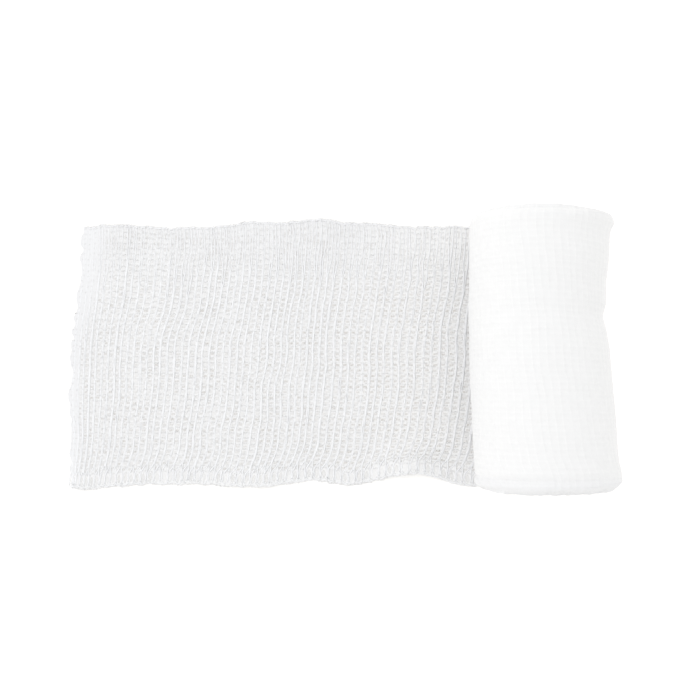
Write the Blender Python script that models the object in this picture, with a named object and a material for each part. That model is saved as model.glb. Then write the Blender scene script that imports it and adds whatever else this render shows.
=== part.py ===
"""Gauze bandage roll, 75 mm wide, lying on a flat surface with its loose end rolled out.

The strip is one cloth. Its wound part is a soft roll whose axis runs along Y, and its free part
is a thin sheet that leaves the underside of the roll and lies flat towards -X, up to its cut end.
The roll's outermost turn starts at a seam under the roll, where the sheet ends.
Sizes are in millimetres in this file, and become metres where a mesh is made.
"""

import math

import bmesh
import bpy

# Driving dimensions

MM = 0.001
CLOTH_THICKNESS = 1.2
CLEARANCE = 0.3
TURN_PITCH = CLOTH_THICKNESS + CLEARANCE
SEAM_X = 50.0
FLAT_SPOT_DEPTH = 0.25

# Mesh fineness

STEPS_AROUND = 48
STEPS_ALONG_SHEET = 50
STEPS_ACROSS_SHEET = 26
END_TURNS = 10

# The two woven edges of the loose end, along the strip from the cut end to the seam

EDGE_COLUMNS = ("along", "upper", "lower")
EDGES = (
    (-82.0, 34.4, -39.7),
    (-76.0, 35.2, -39.7),
    (-68.0, 36.1, -39.1),
    (-56.0, 35.5, -38.4),
    (-40.0, 35.6, -38.4),
    (-27.0, 37.1, -39.0),
    (-18.0, 36.8, -38.1),
    (-9.0, 37.7, -37.2),
    (0.0, 36.5, -38.6),
    (7.0, 36.6, -37.2),
    (15.0, 35.8, -35.5),
    (23.0, 35.7, -35.8),
    (32.0, 35.8, -38.8),
    (60.0, 35.8, -38.6),
)

# The cut end, across the strip from its lower to its upper edge

CUT_COLUMNS = ("across", "along")
CUT = (
    (-40.0, -79.2),
    (-35.0, -80.3),
    (-28.0, -79.4),
    (-21.0, -79.3),
    (-14.0, -80.5),
    (-5.0, -79.7),
    (8.0, -79.0),
    (20.0, -77.6),
    (36.0, -76.6),
)

# Low swells where the loose end lifts off the surface: their middle, height and reach

SWELL_COLUMNS = ("along", "across", "height", "reach_along", "reach_across")
SWELLS = (
    (17.0, -34.0, 2.6, 9.0, 7.0),
    (-9.0, 38.0, 2.0, 13.0, 6.0),
    (-27.0, -39.0, 1.7, 9.0, 6.0),
    (-66.0, 36.0, 1.9, 9.0, 7.0),
    (-80.0, 8.0, 1.6, 7.0, 12.0),
    (-79.0, -38.0, 1.5, 6.0, 7.0),
    (-52.0, 14.0, 1.2, 6.0, 16.0),
)
SWELL_SUNK = 0.35

# The roll, section by section along its axis: middle, radius and how far the section follows its end

SECTION_COLUMNS = ("across", "middle", "radius", "follow")
SECTIONS = (
    (-37.9, 52.1, 19.2, 1.0),
    (-37.4, 52.3, 20.1, 1.0),
    (-36.4, 52.6, 20.3, 0.9),
    (-35.0, 52.9, 19.5, 0.8),
    (-33.0, 52.9, 19.4, 0.6),
    (-26.0, 52.5, 19.4, 0.3),
    (-18.0, 52.1, 19.3, 0.1),
    (-9.0, 51.6, 19.2, 0.0),
    (0.0, 51.2, 19.0, 0.0),
    (4.0, 50.9, 18.8, 0.0),
    (9.0, 50.4, 18.4, 0.0),
    (17.0, 50.9, 18.7, 0.1),
    (24.0, 51.4, 19.1, 0.3),
    (30.0, 51.6, 19.2, 0.6),
    (33.4, 51.9, 19.5, 0.8),
    (34.6, 51.8, 19.3, 1.0),
    (35.2, 51.6, 18.6, 1.0),
)

# The wound ends: bulge at the top, height of a raised turn, depth of the hollow towards the middle

END_BULGE = 1.2
END_RELIEF = 0.8
END_DISH = 1.1
DISH_STEEPNESS = 3.0
SWAY_SHARE = 0.3
SWAY_RATE = 2.3
TURNS_TO_EVEN = 2
BULGE_SHARPNESS = 0.8

# Colours and finish, as seen on the cloth

ROLL_COLOUR = (0.93, 0.93, 0.94, 1.0)
SHEET_COLOUR = (0.82, 0.83, 0.86, 1.0)
CLOTH_ROUGHNESS = 0.9
SHARP_ANGLE_DEG = 50


def column(table, columns, name):
    """One column of a table, as a list."""
    place = columns.index(name)
    return [row[place] for row in table]


def smooth(table, columns, key, name, at):
    """The value of one column at a place on another, on a smooth curve through the rows."""
    places = column(table, columns, key)
    values = column(table, columns, name)
    at = min(max(at, places[0]), places[-1])
    last = len(places) - 1
    row = max(i for i in range(last) if places[i] <= at or i == 0)

    def slope(i):
        before = max(i - 1, 0)
        after = min(i + 1, last)
        return (values[after] - values[before]) / (places[after] - places[before])

    run = places[row + 1] - places[row]
    t = (at - places[row]) / run
    return (
        values[row] * (1 + 2 * t) * (1 - t) ** 2
        + values[row + 1] * (3 - 2 * t) * t**2
        + slope(row) * run * t * (1 - t) ** 2
        - slope(row + 1) * run * t**2 * (1 - t)
    )


def cloth_material(name, colour):
    """A matt white cloth finish."""
    material = bpy.data.materials.new(name)
    material.use_nodes = True
    shader = material.node_tree.nodes["Principled BSDF"]
    shader.inputs["Base Color"].default_value = colour
    shader.inputs["Roughness"].default_value = CLOTH_ROUGHNESS
    shader.inputs["Metallic"].default_value = 0.0
    material.diffuse_color = colour
    return material


def add_solid(name, points, faces, material, origin):
    """A smooth shaded object of a closed mesh, its faces turned outwards."""
    mesh = bpy.data.meshes.new(name)
    placed = [((x - origin[0]) * MM, (y - origin[1]) * MM, z * MM) for x, y, z in points]
    mesh.from_pydata(placed, [], faces)
    shell = bmesh.new()
    shell.from_mesh(mesh)
    bmesh.ops.recalc_face_normals(shell, faces=shell.faces)
    shell.to_mesh(mesh)
    shell.free()
    mesh.shade_smooth()
    mesh.set_sharp_from_angle(angle=math.radians(SHARP_ANGLE_DEG))
    mesh.materials.append(material)
    solid = bpy.data.objects.new(name, mesh)
    bpy.context.scene.collection.objects.link(solid)
    return solid


# The loose end


def swell_height(along, across):
    """How high the cloth's underside lies: exactly flat, but for the low swells."""
    height = -SWELL_SUNK
    for row in SWELLS:
        swell = dict(zip(SWELL_COLUMNS, row))
        off_along = (along - swell["along"]) / swell["reach_along"]
        off_across = (across - swell["across"]) / swell["reach_across"]
        height += swell["height"] * math.exp(-(off_along**2) - off_across**2)
    return max(height, 0.0)


def sheet_point(share_along, share_across):
    """A point of the sheet's underside, by its share of the length and of the width."""
    seam = SEAM_X - CLEARANCE
    flat_across = EDGES[0][2] + share_across * (EDGES[0][1] - EDGES[0][2])
    cut = smooth(CUT, CUT_COLUMNS, "across", "along", flat_across)
    along = cut + share_along * (seam - cut)
    upper = smooth(EDGES, EDGE_COLUMNS, "along", "upper", along)
    lower = smooth(EDGES, EDGE_COLUMNS, "along", "lower", along)
    across = lower + share_across * (upper - lower)
    return along, across, swell_height(along, across)


def loose_end_mesh():
    """Two like grids, one above the other, closed by a rim."""
    row_length = STEPS_ACROSS_SHEET + 1
    under = [
        sheet_point(i / STEPS_ALONG_SHEET, j / STEPS_ACROSS_SHEET)
        for i in range(STEPS_ALONG_SHEET + 1)
        for j in range(row_length)
    ]
    over = [(x, y, z + CLOTH_THICKNESS) for x, y, z in under]
    layer = len(under)
    faces = []
    for i in range(STEPS_ALONG_SHEET):
        for j in range(STEPS_ACROSS_SHEET):
            a = i * row_length + j
            b = a + row_length
            faces.append((a, a + 1, b + 1, b))
            faces.append((layer + a, layer + b, layer + b + 1, layer + a + 1))
    far = STEPS_ALONG_SHEET * row_length
    lower_side = [i * row_length for i in range(STEPS_ALONG_SHEET + 1)]
    seam_side = [far + j for j in range(row_length)]
    upper_side = [a + STEPS_ACROSS_SHEET for a in reversed(lower_side)]
    cut_side = [j for j in reversed(range(row_length))]
    rim = lower_side + seam_side[1:] + upper_side[1:] + cut_side[1:]
    for a, b in zip(rim, rim[1:]):
        faces.append((a, b, layer + b, layer + a))
    return under + over, faces


# The roll


def end_lift(angle):
    """How far a section near an end stands out along the axis: most at the top of the roll."""
    return END_BULGE * max(math.sin(angle), 0.0) ** BULGE_SHARPNESS


def turn_share(step):
    """Turns wound up to this step."""
    return step / STEPS_AROUND


def section_rim(row):
    """One section as points (x, z) and its centre, from the seam round to the seam again.

    The outermost turn starts flat on the surface. Its last stretch lies flat on the sheet.
    """
    section = dict(zip(SECTION_COLUMNS, row))
    radius = section["radius"]
    middle_x = section["middle"]
    middle_z = radius - FLAT_SPOT_DEPTH
    start = -math.pi / 2 - math.asin((middle_x - SEAM_X) / radius)
    rim = []
    for step in range(STEPS_AROUND + 1):
        angle = start + 2 * math.pi * step / STEPS_AROUND
        x = middle_x + radius * math.cos(angle)
        z = middle_z + radius * math.sin(angle)
        floor = TURN_PITCH if step > STEPS_AROUND / 2 else 0.0
        if step in (0, STEPS_AROUND):
            x = SEAM_X
        rim.append((x, max(z, floor), angle))
    return rim, (middle_x, middle_z)


def end_face(points, faces, rim_ids, row, outward):
    """A spiral of raised turns from the rim to the middle, closed by a small fan."""
    section = dict(zip(SECTION_COLUMNS, row))
    rim, (middle_x, middle_z) = section_rim(row)
    full = section["radius"] - FLAT_SPOT_DEPTH

    def spiral_point(step, inset, raised):
        turn = step // STEPS_AROUND
        place = step % STEPS_AROUND
        x, z, angle = rim[place]
        rim_distance = math.hypot(x - middle_x, z - middle_z)
        even_distance = full - TURN_PITCH * turn_share(place)
        evenness = min(max(turn_share(step) - 1, 0) / TURNS_TO_EVEN, 1)
        distance = rim_distance + evenness * (even_distance - rim_distance)
        distance -= TURN_PITCH * turn + inset
        depth = 1 - distance / full
        sway = SWAY_SHARE * math.sin(SWAY_RATE * turn_share(step) + math.sin(angle * 2))
        sunk = END_DISH * min(depth * DISH_STEEPNESS, 1)
        level = (END_RELIEF * raised - sunk) * (1 + sway)
        direction = math.atan2(z - middle_z, x - middle_x)
        y = section["across"] + outward * (end_lift(angle) * (1 - depth) + level)
        return (
            middle_x + distance * math.cos(direction),
            y,
            middle_z + distance * math.sin(direction),
        )

    last = STEPS_AROUND * END_TURNS
    grooves = list(rim_ids)
    for step in range(STEPS_AROUND + 1, last + STEPS_AROUND + 1):
        grooves.append(len(points))
        points.append(spiral_point(step, 0.0, 0.0))
    ridges = []
    for step in range(last + 1):
        ridges.append(len(points))
        points.append(spiral_point(step, TURN_PITCH / 2, 1.0))
    for step in range(last):
        inner = step + STEPS_AROUND
        faces.append((grooves[step], grooves[step + 1], ridges[step + 1], ridges[step]))
        faces.append((ridges[step], ridges[step + 1], grooves[inner + 1], grooves[inner]))
    faces.append((grooves[0], ridges[0], grooves[STEPS_AROUND]))

    middle = len(points)
    points.append((middle_x, section["across"] - outward * END_DISH / 2, middle_z))
    hole = grooves[last:] + [ridges[last]]
    for a, b in zip(hole, hole[1:] + hole[:1]):
        faces.append((a, b, middle))


def roll_mesh():
    """The sections joined along the axis, the seam's step, and a spiral at each end."""
    points = []
    faces = []
    loops = []
    for row in SECTIONS:
        section = dict(zip(SECTION_COLUMNS, row))
        side = math.copysign(1, section["across"])
        rim, _ = section_rim(row)
        loops.append(list(range(len(points), len(points) + len(rim))))
        for x, z, angle in rim:
            y = section["across"] + side * section["follow"] * end_lift(angle)
            points.append((x, y, z))
    for near, far in zip(loops, loops[1:]):
        for step in range(STEPS_AROUND):
            faces.append((near[step], near[step + 1], far[step + 1], far[step]))
        faces.append((near[STEPS_AROUND], near[0], far[0], far[STEPS_AROUND]))
    end_face(points, faces, loops[0], SECTIONS[0], -1)
    end_face(points, faces, loops[-1], SECTIONS[-1], 1)
    return points, faces


def clear_scene():
    """Starts from an empty scene."""
    for leftover in list(bpy.data.objects):
        bpy.data.objects.remove(leftover)


def build():
    """Makes both solids, with the origin on the surface below the middle of the whole."""
    clear_scene()
    sheet_points, sheet_faces = loose_end_mesh()
    roll_points, roll_faces = roll_mesh()
    origin = [
        (min(places) + max(places)) / 2
        for places in zip(*((x, y) for x, y, _ in sheet_points + roll_points))
    ]
    add_solid(
        "loose_end",
        sheet_points,
        sheet_faces,
        cloth_material("gauze_single_layer", SHEET_COLOUR),
        origin,
    )
    add_solid(
        "roll",
        roll_points,
        roll_faces,
        cloth_material("gauze_wound", ROLL_COLOUR),
        origin,
    )


build()
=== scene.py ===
import math

import bpy
import numpy as np
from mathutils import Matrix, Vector
from mathutils.bvhtree import BVHTree


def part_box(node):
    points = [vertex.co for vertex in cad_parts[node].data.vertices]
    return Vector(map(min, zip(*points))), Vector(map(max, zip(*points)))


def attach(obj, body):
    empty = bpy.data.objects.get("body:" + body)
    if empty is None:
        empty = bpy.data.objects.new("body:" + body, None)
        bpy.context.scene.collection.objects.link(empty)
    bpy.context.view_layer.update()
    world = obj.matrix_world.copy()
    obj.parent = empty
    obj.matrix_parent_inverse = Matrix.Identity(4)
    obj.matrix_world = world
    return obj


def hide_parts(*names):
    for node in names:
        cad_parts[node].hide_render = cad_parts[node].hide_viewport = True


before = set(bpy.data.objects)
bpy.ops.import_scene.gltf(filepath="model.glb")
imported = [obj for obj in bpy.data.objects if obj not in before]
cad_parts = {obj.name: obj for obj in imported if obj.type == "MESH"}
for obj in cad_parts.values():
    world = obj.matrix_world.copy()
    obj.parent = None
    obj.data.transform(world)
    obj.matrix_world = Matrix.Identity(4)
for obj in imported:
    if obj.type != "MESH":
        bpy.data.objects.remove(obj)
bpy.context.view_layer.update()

# Sizes are in millimetres in this file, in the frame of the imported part, and become metres
# where a mesh is made. Only the floor, the lamp and the camera are in metres throughout. Along
# runs from the cut end to the roll, across from the lower woven edge to the upper one, and a
# thread's lift is its height above the middle of the cloth.

MM = 0.001
RNG = np.random.default_rng(75)

# The cloth

CLOTH_MIDDLE = 0.45
ROLL_INSET = 0.1
ROW_COUNT = 45
ROW_PITCH = 1.573
FIRST_ROW = 3.95
LOWER_BAND_ROWS = (0.22, 0.58, 0.95)
UPPER_BAND_ROWS = (74.55, 74.95)
STRIP_WIDTH = 75.2
TURN_PITCH = 0.62
TURN_COUNT = 28
WEFT_RADIUS = 0.19
WARP_RADIUS = 0.105

# Distance between neighbouring cross yarns, by their distance from the cut end

PITCH_AT = (0.0, 3.0, 9.0, 25.0, 40.0, 60.0, 80.0, 100.0, 125.0, 260.0)
PITCH = (1.15, 1.6, 1.85, 2.02, 1.95, 1.97, 2.10, 2.26, 2.30, 2.25)

# How far a cross yarn moves along the strip for each millimetre up it, by its place across

LEAN_AT = (
    -36.0, -34.0, -30.5, -27.5, -23.0, -18.0, -13.0, -8.0, -3.0, 2.0, 7.0, 11.0, 16.0, 21.0, 31.0, 36.0
)
LEAN = (0.0, 0.40, 0.40, 0.19, 0.13, 0.12, 0.10, 0.08, 0.045, 0.05, 0.12, 0.17, 0.13, 0.10, 0.08, 0.0)

# Small helpers


def smoothstep(low, high, value):
    """0 below low, 1 above high, and a smooth rise between."""
    share = np.clip((value - low) / (high - low), 0, 1)
    return share * share * (3 - 2 * share)


def lattice(size=256):
    """A table of random heights for smooth noise."""
    return RNG.uniform(-1, 1, (size, size))


def blend(table, row, column, above, right, u, v):
    """A value between four neighbouring points of a table."""
    low = table[row, column] * (1 - u) + table[row, right] * u
    high = table[above, column] * (1 - u) + table[above, right] * u
    return low * (1 - v) + high * v


def noise(table, x, y):
    """Smooth noise from -1 to 1 that repeats after the table's size, one cell for each unit."""
    x, y = np.broadcast_arrays(x, y)
    size = len(table)
    column, row = np.floor(x).astype(int), np.floor(y).astype(int)
    u, v = smoothstep(0, 1, x - column), smoothstep(0, 1, y - row)
    column, row = column % size, row % size
    return blend(table, row, column, (row + 1) % size, (column + 1) % size, u, v)


def table_value(table, x, y):
    """A value between the points of a table over the unit square."""
    rows, columns = table.shape
    x = np.clip(x, 0, 1) * (columns - 1)
    y = np.clip(y, 0, 1) * (rows - 1)
    column = np.minimum(x.astype(int), columns - 2)
    row = np.minimum(y.astype(int), rows - 2)
    return blend(table, row, column, row + 1, column + 1, x - column, y - row)


def add_object(name, data):
    """A new object in the scene."""
    holder = bpy.data.objects.new(name, data)
    bpy.context.scene.collection.objects.link(holder)
    return holder


def add_mesh(name, points, quads, material, caps=None, uv=None, weave=None, closeness=None):
    """An object of a mesh from arrays, points in millimetres, with smooth faces.

    uv and weave hold a place for each corner, and closeness a number for each point.
    """
    quads = np.asarray(quads, np.int32).reshape(-1, 4)
    loops = [quads.ravel()]
    totals = [np.full(len(quads), 4, np.int32)]
    if caps is not None and len(caps):
        caps = np.asarray(caps, np.int32)
        loops.append(caps.ravel())
        totals.append(np.full(len(caps), caps.shape[1], np.int32))
    loops, totals = np.concatenate(loops), np.concatenate(totals)
    mesh = bpy.data.meshes.new(name)
    mesh.vertices.add(len(points))
    mesh.vertices.foreach_set("co", (np.asarray(points) * MM).astype(np.float32).ravel())
    mesh.loops.add(len(loops))
    mesh.loops.foreach_set("vertex_index", loops)
    mesh.polygons.add(len(totals))
    starts = np.concatenate([[0], np.cumsum(totals)[:-1]]).astype(np.int32)
    mesh.polygons.foreach_set("loop_start", starts)
    mesh.polygons.foreach_set("loop_total", totals)
    mesh.update(calc_edges=True)
    for title, places in (("OFBake", uv), ("Weave", weave)):
        if places is not None:
            layer = mesh.uv_layers.new(name=title)
            layer.data.foreach_set("uv", places.astype(np.float32).ravel())
    if closeness is not None:
        values = mesh.attributes.new("closeness", "FLOAT", "POINT")
        values.data.foreach_set("value", np.asarray(closeness, np.float32).ravel())
    mesh.shade_smooth()
    mesh.materials.append(material)
    return add_object(name, mesh)


def tube_arrays(paths, ups, radii, sides, flatness=1.0):
    """Closed tubes along many paths of equal point counts: points, quads, caps and a UV map."""
    count, length, _ = paths.shape
    along = np.gradient(paths, axis=1)
    along /= np.linalg.norm(along, axis=2, keepdims=True) + 1e-9
    aside = np.cross(along, ups)
    aside /= np.linalg.norm(aside, axis=2, keepdims=True) + 1e-9
    up = np.cross(aside, along)
    angles = math.tau * (np.arange(sides) + 0.25) / sides
    radii = np.broadcast_to(radii, (count, length))[:, :, None, None]
    ring = np.cos(angles)[:, None] * aside[:, :, None]
    ring = ring + flatness * np.sin(angles)[:, None] * up[:, :, None]
    points = (paths[:, :, None] + radii * ring).reshape(-1, 3)

    thread = np.arange(count)[:, None, None] * length * sides
    step = np.arange(length - 1)[None, :, None] * sides
    side = np.arange(sides)[None, None, :]
    following = (side + 1) % sides
    here, ahead = thread + step, thread + step + sides
    corners = (here + side, here + following, ahead + following, ahead + side)
    quads = np.stack(np.broadcast_arrays(*corners), axis=-1)
    first_ring = thread[:, 0] + side[0]
    caps = np.concatenate([first_ring[:, ::-1], first_ring + (length - 1) * sides])
    strips = count * sides
    strip = np.arange(count)[:, None, None] * sides + side
    low, high = (strip + 0.1) / strips, (strip + 0.9) / strips
    begin = np.arange(length - 1)[None, :, None] / (length - 1)
    end = begin + 1 / (length - 1)
    u = np.stack([begin, begin, end, end], axis=-1)
    v = np.stack([low, high, high, low], axis=-1)
    quad_uv = np.stack(np.broadcast_arrays(u, v), axis=-1).reshape(-1, 2)
    cap_uv = np.tile([0.0, 0.0], (caps.size, 1))
    cap_uv[:, 1] = np.repeat((np.arange(len(caps)) % count + 0.5) / count, sides)
    return points, quads.reshape(-1, 4), caps, np.concatenate([quad_uv, cap_uv])


def add_tubes(name, batches, material):
    """One piece of several batches of tubes, all with the same number of sides."""
    points, quads, caps, quad_uvs, cap_uvs = [], [], [], [], []
    first = 0
    for number, batch in enumerate(batches):
        p, q, c, uv = tube_arrays(*batch)
        uv[:, 1] = (uv[:, 1] + number) / len(batches)
        points.append(p)
        quads.append(q + first)
        caps.append(c + first)
        quad_uvs.append(uv[: q.size])
        cap_uvs.append(uv[q.size :])
        first += len(p)
    points, quads, caps = (np.concatenate(arrays) for arrays in (points, quads, caps))
    return add_mesh(name, points, quads, material, caps, np.concatenate(quad_uvs + cap_uvs))


def grid_faces(rows, columns):
    """The faces of a grid of points, row by row."""
    index = np.arange(rows * columns).reshape(rows, columns)
    corners = [index[:-1, :-1], index[:-1, 1:], index[1:, 1:], index[1:, :-1]]
    return np.stack(corners, axis=-1).reshape(-1, 4)


def corner_places(quads, u, v):
    """A UV map from two numbers for each point of a grid."""
    u, v = np.broadcast_arrays(u, v)
    return np.stack([u.ravel()[quads], v.ravel()[quads]], axis=-1)


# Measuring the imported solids


def tree_of(node):
    """A search tree of a node's faces, in metres."""
    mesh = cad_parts[node].data
    return BVHTree.FromPolygons([v.co for v in mesh.vertices], [p.vertices for p in mesh.polygons])


def hit(tree, start, direction, reach=1000.0):
    """Where a ray meets a node, in millimetres, or None."""
    place = tree.ray_cast(Vector(start) * MM, Vector(direction), reach * MM)[0]
    return None if place is None else place / MM


def last_inside(inside, outside, covered):
    """The edge of the cloth between a place on it and one off it."""
    for _ in range(HALVINGS):
        middle = (inside + outside) / 2
        if covered(middle):
            inside = middle
        else:
            outside = middle
    return inside


sheet_tree = tree_of("loose_end")
roll_tree = tree_of("roll")
sheet_low, sheet_high = (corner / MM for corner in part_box("loose_end"))
roll_low, roll_high = (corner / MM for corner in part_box("roll"))
SEAM = sheet_high.x
BELOW, OUTSIDE, HALVINGS = -5, 1, 14


def on_sheet(x, y):
    """Whether the loose end's solid is over a place on the floor."""
    return hit(sheet_tree, (x, y, BELOW), (0, 0, 1)) is not None


CUT_REACH, CORNER, EDGE_STEP = 5.0, 0.9, 0.75
EDGE_AT = np.arange(sheet_low.x + CUT_REACH, SEAM, EDGE_STEP)
LOWER_EDGE, UPPER_EDGE = (
    np.array([last_inside(0.0, outside, lambda y: on_sheet(x, y)) for x in EDGE_AT])
    for outside in (sheet_low.y - OUTSIDE, sheet_high.y + OUTSIDE)
)
CUT_AT = np.arange(LOWER_EDGE[0] + CORNER, UPPER_EDGE[0] - CORNER, EDGE_STEP)
CUT_END = np.array(
    [last_inside(EDGE_AT[0], sheet_low.x - OUTSIDE, lambda x: on_sheet(x, y)) for y in CUT_AT]
)
SOFT_CUT_REACH = 7.0
NEARNESS = np.exp(-(((CUT_AT[:, None] - CUT_AT[None, :]) / SOFT_CUT_REACH) ** 2))
SOFT_CUT = NEARNESS @ CUT_END / NEARNESS.sum(axis=1)
END_INSET, SIDE_INSET = 0.2, 0.3


def sheet_underside(columns=110, rows=60):
    """Heights of the sheet's underside over its length and width."""
    heights = np.zeros((rows, columns))
    for column, share in enumerate(np.linspace(0, 1, columns)):
        x = sheet_low.x + END_INSET + share * (SEAM - sheet_low.x - 2 * END_INSET)
        low, high = np.interp(x, EDGE_AT, LOWER_EDGE), np.interp(x, EDGE_AT, UPPER_EDGE)
        for row, y in enumerate(np.linspace(low + SIDE_INSET, high - SIDE_INSET, rows)):
            start_x = max(x, float(np.interp(y, CUT_AT, CUT_END)) + END_INSET)
            place = hit(sheet_tree, (start_x, y, BELOW), (0, 0, 1))
            heights[row, column] = 0.0 if place is None else place.z
    return heights


UNDERSIDE = sheet_underside()

# The roll: its axis, and its radius by angle from the seam and by place across

AXIS_DROP = 0.4
AXIS_X = (roll_low.x + roll_high.x) / 2
AXIS_Z = (roll_low.z + roll_high.z) / 2 - AXIS_DROP
RADIUS = AXIS_Z
SEAM_ANGLE = -math.pi / 2 - math.asin((AXIS_X - SEAM) / RADIUS)
ROLL_REACH = 38.5
ANGLE_STEPS = 180
ACROSS_STEPS = 81
FAR = 30.0
RIM_DEPTH = 15.0
SHEET_SIDE_START, SHEET_SIDE_END = 195, 272


def outline_radii():
    """Distance of the roll's surface from its axis, by angle and by place across."""
    radii = np.zeros((ACROSS_STEPS, ANGLE_STEPS + 1))
    middle = ACROSS_STEPS // 2
    places = np.linspace(-ROLL_REACH, ROLL_REACH, ACROSS_STEPS)
    degrees = np.linspace(0, 360, ANGLE_STEPS + 1)
    over_sheet = (degrees > SHEET_SIDE_START) & (degrees < SHEET_SIDE_END)
    for row in [*range(middle, ACROSS_STEPS), *range(middle - 1, -1, -1)]:
        before = row - 1 if row > middle else row + 1
        for column, angle in enumerate(np.radians(degrees)):
            way = Vector((math.cos(angle), 0, math.sin(angle)))
            start = Vector((AXIS_X, places[row], AXIS_Z)) + way * FAR
            place = hit(roll_tree, start, -way, RIM_DEPTH)
            if place is None:
                radii[row, column] = radii[before, column]
            else:
                radii[row, column] = math.hypot(place.x - AXIS_X, place.z - AXIS_Z)
        radii[row, over_sheet] = radii[row, degrees <= SHEET_SIDE_START][-1]
    return radii


CORE_START = 0.3
RIM_DISTANCE = RADIUS - 1.9
PAST_END = 60
SMOOTHING = 5


def end_depths(side, angles=120, circles=60):
    """Place across of an end face, by angle and by distance from the axis, its turns smoothed out."""
    depths = np.zeros((circles, angles + 1))
    for row, distance in enumerate(np.linspace(CORE_START, CORE_START + RIM_DISTANCE, circles)):
        for column, angle in enumerate(np.linspace(0, math.tau, angles + 1)):
            x = AXIS_X + distance * math.cos(angle)
            z = AXIS_Z + distance * math.sin(angle)
            depths[row, column] = hit(roll_tree, (x, side * PAST_END, z), (0, -side, 0)).y
    window = np.ones(SMOOTHING) / SMOOTHING
    padded = np.pad(depths, ((SMOOTHING // 2, SMOOTHING // 2), (0, 0)), mode="edge")
    return np.apply_along_axis(lambda line: np.convolve(line, window, "valid"), 0, padded)


RADII = outline_radii()
END_DEPTHS = {side: end_depths(side) for side in (-1, 1)}
UPPER_RISE, RISE_REACH, RISE_START, RISE_FULL = 1.0, 0.9, RADIUS - 7, RADIUS - 2


def end_place(side, angle, distance):
    """Place across of an end of the roll. The upper rim stands a little higher on top."""
    turn = np.mod(angle, math.tau) / math.tau
    place = table_value(END_DEPTHS[side], turn, (distance - CORE_START) / RIM_DISTANCE)
    if side > 0:
        from_top = np.mod(angle + math.pi / 2, math.tau) - math.pi
        rise = UPPER_RISE * np.exp(-((from_top / RISE_REACH) ** 2))
        place = place + rise * smoothstep(RISE_START, RISE_FULL, distance)
    return place


# How far the loose outer turn stands off on the side away from the sheet, by place across

SWELL_AT = (-37.5, -34.5, -30.0, 0.0, 9.0, 13.0, 19.0, 33.0, 37.5)
SWELL = (3.8, 2.3, 1.4, 1.1, 0.7, 1.4, 0.8, 0.7, 2.2)
SWELL_ANGLE, SWELL_REACH = 0.15, 0.8


def roll_radius(angle, across):
    """Distance of the middle of the outermost cloth from the axis. It lies flat on the surface."""
    turn = np.mod(angle, math.tau) / math.tau
    radius = table_value(RADII, turn, (across + ROLL_REACH) / (2 * ROLL_REACH)) - ROLL_INSET
    away = np.mod(angle - SWELL_ANGLE + math.pi, math.tau) - math.pi
    radius = radius + np.interp(across, SWELL_AT, SWELL) * np.exp(-((away / SWELL_REACH) ** 2))
    down = np.maximum(-np.sin(angle), 1e-3)
    flat = (AXIS_Z - CLOTH_MIDDLE) / down
    return np.where(np.sin(angle) < 0, np.minimum(radius, flat), radius)


# Places on the strip

WIND_ON, ROLL_EASE = 14, 12


def edges_at(along):
    """Place across of the lower and upper woven edges."""
    x = np.minimum(along, SEAM)
    low, high = np.interp(x, EDGE_AT, LOWER_EDGE), np.interp(x, EDGE_AT, UPPER_EDGE)
    turned = np.maximum(along - SEAM, 0)
    angle = SEAM_ANGLE + turned / RADIUS
    wound = smoothstep(0, WIND_ON, turned)
    low = low + wound * (end_place(-1, angle, RIM_DISTANCE) - low)
    high = high + wound * (end_place(1, angle, RIM_DISTANCE) - high)
    return low, high


SHARED = lattice()
FINE = lattice()
LIP_START, LIP_END, LIP_FALL = -32.6, -38.8, 2.5
CREASE_Y, CREASE_SLOPE, CREASE_DEPTH, CREASE_WIDTH = -35.3, 0.8, 0.3, 0.8
SOFT_RELIEF, FINE_RELIEF, RIM_RELIEF = 0.07, 0.03, 0.25
LUMP_HEIGHT, FINE_LUMP_HEIGHT, LUMP_REACH, WOUND_EVENNESS = 0.45, 0.14, 0.035, 0.6


def relief(along, y):
    """Soft unevenness of the roll's outer turn, with the crease and lip of its lower rim."""
    soft = SOFT_RELIEF * noise(SHARED, along / 5 + 31, y / 5)
    soft = soft + FINE_RELIEF * noise(FINE, along / 1.6, y / 1.5)
    soft = soft + RIM_RELIEF * noise(SHARED, along / 2.6, 12.5) * smoothstep(-35, -38, y)
    crease_y = CREASE_Y + CREASE_SLOPE * ((along - SEAM) / RADIUS - math.pi)
    crease = -CREASE_DEPTH * np.exp(-(((y - crease_y) / CREASE_WIDTH) ** 2))
    return soft + crease - LIP_FALL * smoothstep(-LIP_START, -LIP_END, -y)


ROW_LOW, ROW_HIGH = float(np.median(LOWER_EDGE)), float(np.median(UPPER_EDGE))


def straight_share(along, share):
    """The share of the width on a lengthwise row's course. Only rows near an edge follow its waves."""
    low, high = edges_at(along)
    straight = (ROW_LOW + share * (ROW_HIGH - ROW_LOW) - low) / (high - low)
    inner = smoothstep(0.03, 0.15, share) * smoothstep(0.99, 0.9, share)
    return share + inner * (straight - share)


def edge_lumps(along, side):
    """How far the lumpy woven edge stands out, along the strip."""
    lumps = LUMP_HEIGHT * noise(SHARED, along / 1.6 + 7 * side, 61.5)
    return lumps + FINE_LUMP_HEIGHT * noise(FINE, along / 0.6, 33.5 + side)


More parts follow.
